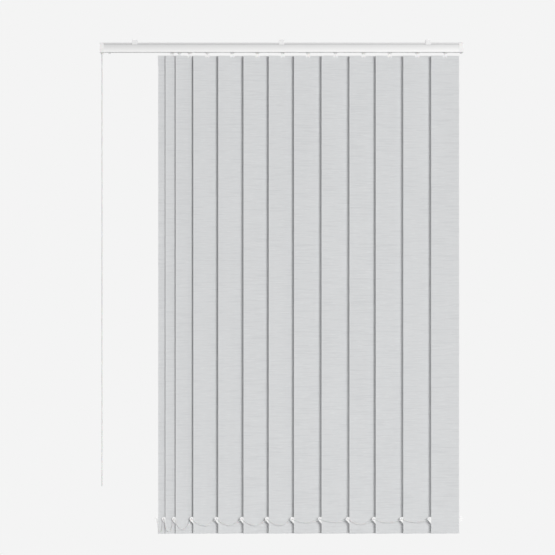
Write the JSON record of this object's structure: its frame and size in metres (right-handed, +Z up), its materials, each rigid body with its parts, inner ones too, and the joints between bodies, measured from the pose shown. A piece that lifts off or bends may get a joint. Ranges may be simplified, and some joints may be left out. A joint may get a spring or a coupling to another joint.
{
  "type": "vertical blind",
  "caption": "Vertical blind: slotted headrail with trucks and tilt rod, fabric vanes on hooks with bottom weights, a chain along the hem and a control chain loop.",
  "frame": {"origin": "on the fixing plane at the top of the brackets, over the middle bracket's screw hole", "axes": "+X along the rail towards the fixed carrier, -Y to the room, +Z up"},
  "size_m": [1.107, 0.0456, 1.505],
  "materials": {
    "rail_paint": "satin white",
    "bracket": "white",
    "white_plastic": "semi-gloss",
    "truck_plastic": "matt",
    "rod": "mill",
    "chain": "semi-gloss",
    "fabric": "stiffened weave",
    "weight": "matt"
  },
  "bodies": {
    "rail": {"headrail": "rail_paint", "top_brackets": "bracket", "control_end_cap": "white_plastic", "idle_end_cap": "white_plastic", "control_chain": "chain", "front_chain": "chain", "carrier_13": "truck_plastic"},
    "rod": {"tilt_rod": "rod", "chain_wheel": "white_plastic"},
    "truck_01": {"carrier_01": "truck_plastic"},
    "truck_02": {"carrier_02": "truck_plastic"},
    "truck_03": {"carrier_03": "truck_plastic"},
    "truck_04": {"carrier_04": "truck_plastic"},
    "truck_05": {"carrier_05": "truck_plastic"},
    "truck_06": {"carrier_06": "truck_plastic"},
    "truck_07": {"carrier_07": "truck_plastic"},
    "truck_08": {"carrier_08": "truck_plastic"},
    "truck_09": {"carrier_09": "truck_plastic"},
    "truck_10": {"carrier_10": "truck_plastic"},
    "truck_11": {"carrier_11": "truck_plastic"},
    "truck_12": {"carrier_12": "truck_plastic"},
    "louvre_01": {"vane_01": "fabric", "hanger_01": "white_plastic", "weight_01": "weight"},
    "louvre_02": {"vane_02": "fabric", "hanger_02": "white_plastic", "weight_02": "weight"},
    "louvre_03": {"vane_03": "fabric", "hanger_03": "white_plastic", "weight_03": "weight"},
    "louvre_04": {"vane_04": "fabric", "hanger_04": "white_plastic", "weight_04": "weight"},
    "louvre_05": {"vane_05": "fabric", "hanger_05": "white_plastic", "weight_05": "weight"},
    "louvre_06": {"vane_06": "fabric", "hanger_06": "white_plastic", "weight_06": "weight"},
    "louvre_07": {"vane_07": "fabric", "hanger_07": "white_plastic", "weight_07": "weight"},
    "louvre_08": {"vane_08": "fabric", "hanger_08": "white_plastic", "weight_08": "weight"},
    "louvre_09": {"vane_09": "fabric", "hanger_09": "white_plastic", "weight_09": "weight"},
    "louvre_10": {"vane_10": "fabric", "hanger_10": "white_plastic", "weight_10": "weight"},
    "louvre_11": {"vane_11": "fabric", "hanger_11": "white_plastic", "weight_11": "weight"},
    "louvre_12": {"vane_12": "fabric", "hanger_12": "white_plastic", "weight_12": "weight"},
    "louvre_13": {"vane_13": "fabric", "hanger_13": "white_plastic", "weight_13": "weight"}
  },
  "joints": [
    {"name": "traverse_12", "type": "slide", "parent": "rail", "child": "truck_12", "axis": [1, 0, 0], "range_m": [0, 0.065]},
    {"name": "traverse_11", "type": "slide", "parent": "truck_12", "child": "truck_11", "axis": [1, 0, 0], "range_m": [-0.001, 0.064]},
    {"name": "traverse_10", "type": "slide", "parent": "truck_11", "child": "truck_10", "axis": [1, 0, 0], "range_m": [-0.005, 0.06]},
    {"name": "traverse_09", "type": "slide", "parent": "truck_10", "child": "truck_09", "axis": [1, 0, 0], "range_m": [0, 0.065]},
    {"name": "traverse_08", "type": "slide", "parent": "truck_09", "child": "truck_08", "axis": [1, 0, 0], "range_m": [-0.001, 0.064]},
    {"name": "traverse_07", "type": "slide", "parent": "truck_08", "child": "truck_07", "axis": [1, 0, 0], "range_m": [-0.008, 0.057]},
    {"name": "traverse_06", "type": "slide", "parent": "truck_07", "child": "truck_06", "axis": [1, 0, 0], "range_m": [-0.008, 0.057]},
    {"name": "traverse_05", "type": "slide", "parent": "truck_06", "child": "truck_05", "axis": [1, 0, 0], "range_m": [-0.008, 0.057]},
    {"name": "traverse_04", "type": "slide", "parent": "truck_05", "child": "truck_04", "axis": [1, 0, 0], "range_m": [-0.009, 0.056]},
    {"name": "traverse_03", "type": "slide", "parent": "truck_04", "child": "truck_03", "axis": [1, 0, 0], "range_m": [-0.031, 0.034]},
    {"name": "traverse_02", "type": "slide", "parent": "truck_03", "child": "truck_02", "axis": [1, 0, 0], "range_m": [-0.054, 0.011]},
    {"name": "traverse_01", "type": "slide", "parent": "truck_02", "child": "truck_01", "axis": [1, 0, 0], "range_m": [-0.031, 0.002]},
    {"name": "tilt_13", "type": "hinge", "parent": "rail", "child": "louvre_13", "pos_m": [0.499, 0, -0.05], "axis": [0, 0, 1], "range_deg": [0, 150], "deforming": ["front_chain"]},
    {"name": "tilt_12", "type": "hinge", "parent": "truck_12", "child": "louvre_12", "pos_m": [0.414, 0, -0.05], "axis": [0, 0, 1], "range_deg": [0, 150]},
    {"name": "tilt_11", "type": "hinge", "parent": "truck_11", "child": "louvre_11", "pos_m": [0.33, 0, -0.05], "axis": [0, 0, 1], "range_deg": [0, 150]},
    {"name": "tilt_10", "type": "hinge", "parent": "truck_10", "child": "louvre_10", "pos_m": [0.25, 0, -0.05], "axis": [0, 0, 1], "range_deg": [0, 150]},
    {"name": "tilt_09", "type": "hinge", "parent": "truck_09", "child": "louvre_09", "pos_m": [0.165, 0, -0.05], "axis": [0, 0, 1], "range_deg": [0, 150]},
    {"name": "tilt_08", "type": "hinge", "parent": "truck_08", "child": "louvre_08", "pos_m": [0.081, 0, -0.05], "axis": [0, 0, 1], "range_deg": [0, 150]},
    {"name": "tilt_07", "type": "hinge", "parent": "truck_07", "child": "louvre_07", "pos_m": [0.004, 0, -0.05], "axis": [0, 0, 1], "range_deg": [0, 150]},
    {"name": "tilt_06", "type": "hinge", "parent": "truck_06", "child": "louvre_06", "pos_m": [-0.073, 0, -0.05], "axis": [0, 0, 1], "range_deg": [0, 150]},
    {"name": "tilt_05", "type": "hinge", "parent": "truck_05", "child": "louvre_05", "pos_m": [-0.15, 0, -0.05], "axis": [0, 0, 1], "range_deg": [0, 150]},
    {"name": "tilt_04", "type": "hinge", "parent": "truck_04", "child": "louvre_04", "pos_m": [-0.226, 0, -0.05], "axis": [0, 0, 1], "range_deg": [0, 150]},
    {"name": "tilt_03", "type": "hinge", "parent": "truck_03", "child": "louvre_03", "pos_m": [-0.28, 0, -0.05], "axis": [0, 0, 1], "range_deg": [0, 150]},
    {"name": "tilt_02", "type": "hinge", "parent": "truck_02", "child": "louvre_02", "pos_m": [-0.311, 0, -0.05], "axis": [0, 0, 1], "range_deg": [0, 150]},
    {"name": "tilt_01", "type": "hinge", "parent": "truck_01", "child": "louvre_01", "pos_m": [-0.333, 0, -0.05], "axis": [0, 0, 1], "range_deg": [0, 150]},
    {"name": "rod_spin", "type": "hinge", "parent": "rail", "child": "rod", "pos_m": [-0.5475, 0.006, -0.023], "axis": [1, 0, 0], "range_deg": [0, 900]}
  ],
  "couplings": [
    {"joint": "tilt_01", "follows": "tilt_13", "ratio": 1},
    {"joint": "tilt_02", "follows": "tilt_13", "ratio": 1},
    {"joint": "tilt_03", "follows": "tilt_13", "ratio": 1},
    {"joint": "tilt_04", "follows": "tilt_13", "ratio": 1},
    {"joint": "tilt_05", "follows": "tilt_13", "ratio": 1},
    {"joint": "tilt_06", "follows": "tilt_13", "ratio": 1},
    {"joint": "tilt_07", "follows": "tilt_13", "ratio": 1},
    {"joint": "tilt_08", "follows": "tilt_13", "ratio": 1},
    {"joint": "tilt_09", "follows": "tilt_13", "ratio": 1},
    {"joint": "tilt_10", "follows": "tilt_13", "ratio": 1},
    {"joint": "tilt_11", "follows": "tilt_13", "ratio": 1},
    {"joint": "tilt_12", "follows": "tilt_13", "ratio": 1},
    {"joint": "rod_spin", "follows": "tilt_13", "ratio": 6}
  ]
}
